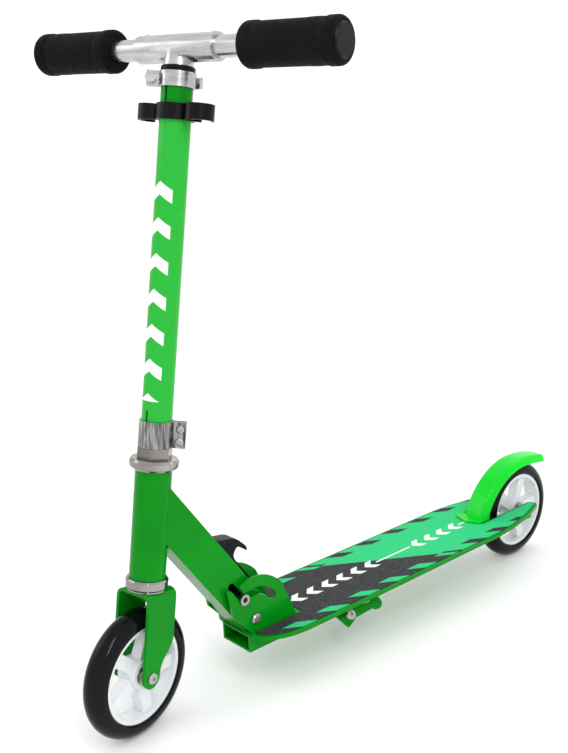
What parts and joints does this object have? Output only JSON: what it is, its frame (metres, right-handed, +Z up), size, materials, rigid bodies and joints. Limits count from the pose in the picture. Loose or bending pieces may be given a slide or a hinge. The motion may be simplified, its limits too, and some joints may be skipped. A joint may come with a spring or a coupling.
{
  "type": "kick scooter",
  "caption": "Folding child's kick scooter: spoked wheels, narrow deck with grip tape, T-bar with foam grips, folding lock bracket, kickstand and a sprung rear fender brake.",
  "frame": {"origin": "on the ground under the middle of the scooter's bounding box, between the two wheels", "axes": "+Z up, -Y forward along the direction of travel, +X to the rider's left"},
  "size_m": [0.3878, 0.8189, 0.7472],
  "materials": {
    "frame_paint": "gloss green powder coat",
    "column_paint": "gloss pearl green with a clear decal film",
    "fender_paint": "high gloss bright green",
    "deck_tape": "gritty anti-slip sheet in charcoal and mint green",
    "satin_aluminium": "satin, brushed",
    "headset_chrome": "polished",
    "nut_steel": "plain",
    "bolt_zinc": "zinc plated",
    "spring_steel": "ground",
    "black_plastic": "moulded satin",
    "grip_foam": "matt foam",
    "tyre_urethane": "gloss black",
    "hub_plastic": "gloss white moulding"
  },
  "bodies": {
    "deck": {"deck_plate": "frame_paint", "deck_channel": "frame_paint", "grip_tape": "deck_tape", "left_fold_plate": "frame_paint", "right_fold_plate": "frame_paint", "fold_pivot_bolt": "bolt_zinc", "deck_lock_nuts": "bolt_zinc", "rear_axle_bolt": "bolt_zinc", "rear_axle_spacers": "bolt_zinc", "fender_pin": "bolt_zinc", "fender_spring": "spring_steel", "kickstand_bracket": "frame_paint", "kickstand_bolt": "bolt_zinc", "kickstand_spring": "spring_steel"},
    "front_frame": {"head_tube": "frame_paint", "down_tube": "frame_paint", "pivot_bushings": "black_plastic", "lower_cup": "headset_chrome", "upper_cup": "headset_chrome", "headset_balls": "spring_steel"},
    "lock": {"lock_axle": "bolt_zinc", "lock_washers": "bolt_zinc", "lock_trigger": "black_plastic", "lock_spring": "spring_steel"},
    "lock_lever": {"lock_lever": "satin_aluminium"},
    "column": {"fork": "frame_paint", "steerer_tube": "nut_steel", "crown_race": "headset_chrome", "adjusting_race": "headset_chrome", "head_lock_nut": "nut_steel", "steering_tube": "column_paint", "lower_clamp": "satin_aluminium", "lower_clamp_bolts": "bolt_zinc", "grip_clip": "black_plastic", "top_clamp": "satin_aluminium", "top_clamp_bolt": "satin_aluminium", "bar_bushing": "black_plastic", "front_axle_bolt": "bolt_zinc", "front_axle_nut": "bolt_zinc", "front_axle_spacers": "bolt_zinc"},
    "top_lever": {"top_clamp_lever": "satin_aluminium"},
    "t_bar": {"t_bar": "satin_aluminium"},
    "left_button": {"left_snap_button": "bolt_zinc"},
    "right_button": {"right_snap_button": "bolt_zinc"},
    "left_handle": {"left_handle_tube": "satin_aluminium", "left_grip": "grip_foam", "left_grip_plug": "black_plastic"},
    "right_handle": {"right_handle_tube": "satin_aluminium", "right_grip": "grip_foam", "right_grip_plug": "black_plastic"},
    "front_wheel": {"front_tyre": "tyre_urethane", "front_hub": "hub_plastic", "front_bearings": "spring_steel", "front_bearing_spacer": "spring_steel"},
    "rear_wheel": {"rear_tyre": "tyre_urethane", "rear_hub": "hub_plastic", "rear_bearings": "spring_steel", "rear_bearing_spacer": "spring_steel"},
    "fender": {"fender": "fender_paint"},
    "kickstand": {"kickstand_leg": "frame_paint"}
  },
  "joints": [
    {"name": "fold", "type": "hinge", "parent": "deck", "child": "front_frame", "pos_m": [0, -0.18814, 0.0891], "axis": [-1, 0, 0], "range_deg": [0, 82]},
    {"name": "lock_pull", "type": "slide", "parent": "front_frame", "child": "lock", "axis": [0, 0.5906, -0.807], "range_m": [-0.02, 0], "stiffness_N_per_m": 150, "springref_m": 0.03, "deforming": ["lock_spring"]},
    {"name": "lock_lever_turn", "type": "hinge", "parent": "lock", "child": "lock_lever", "pos_m": [-0.0342, -0.20451, 0.11875], "axis": [0, -0.807, -0.5906], "range_deg": [0, 120]},
    {"name": "steering", "type": "hinge", "parent": "front_frame", "child": "column", "pos_m": [0, -0.34074, 0], "axis": [0, 0.1438, 0.9896], "continuous": true},
    {"name": "front_wheel_spin", "type": "hinge", "parent": "column", "child": "front_wheel", "pos_m": [0.00187, -0.33837, 0.0725], "axis": [0.9744, 0.2226, -0.0324], "continuous": true},
    {"name": "rear_wheel_spin", "type": "hinge", "parent": "deck", "child": "rear_wheel", "pos_m": [0, 0.33696, 0.0725], "axis": [1, 0, 0], "continuous": true},
    {"name": "bar_height", "type": "slide", "parent": "column", "child": "t_bar", "axis": [0, 0.1438, 0.9896], "range_m": [0, 0.15]},
    {"name": "top_lever_turn", "type": "hinge", "parent": "column", "child": "top_lever", "pos_m": [-0.02423, -0.25395, 0.69019], "axis": [0, 0.1438, 0.9896], "range_deg": [0, 100]},
    {"name": "left_handle_pull", "type": "slide", "parent": "t_bar", "child": "left_handle", "axis": [0.9744, 0.2226, -0.0324], "range_m": [0, 0.04]},
    {"name": "right_handle_pull", "type": "slide", "parent": "t_bar", "child": "right_handle", "axis": [-0.9744, -0.2226, 0.0324], "range_m": [0, 0.04]},
    {"name": "left_button_press", "type": "slide", "parent": "t_bar", "child": "left_button", "axis": [0, -0.1438, -0.9896], "range_m": [0, 0.0025], "stiffness_N_per_m": 400, "springref_m": -0.002},
    {"name": "right_button_press", "type": "slide", "parent": "t_bar", "child": "right_button", "axis": [0, -0.1438, -0.9896], "range_m": [0, 0.0025], "stiffness_N_per_m": 400, "springref_m": -0.002},
    {"name": "fender_press", "type": "hinge", "parent": "deck", "child": "fender", "pos_m": [0, 0.24946, 0.06837], "axis": [-1, 0, 0], "range_deg": [0, 2.2], "stiffness_Nm_per_rad": 12, "springref_deg": -2.86},
    {"name": "kickstand_turn", "type": "hinge", "parent": "deck", "child": "kickstand", "pos_m": [0.044, -0.05774, 0.052], "axis": [-0.7826, 0, -0.6225], "range_deg": [0, 95]}
  ]
}
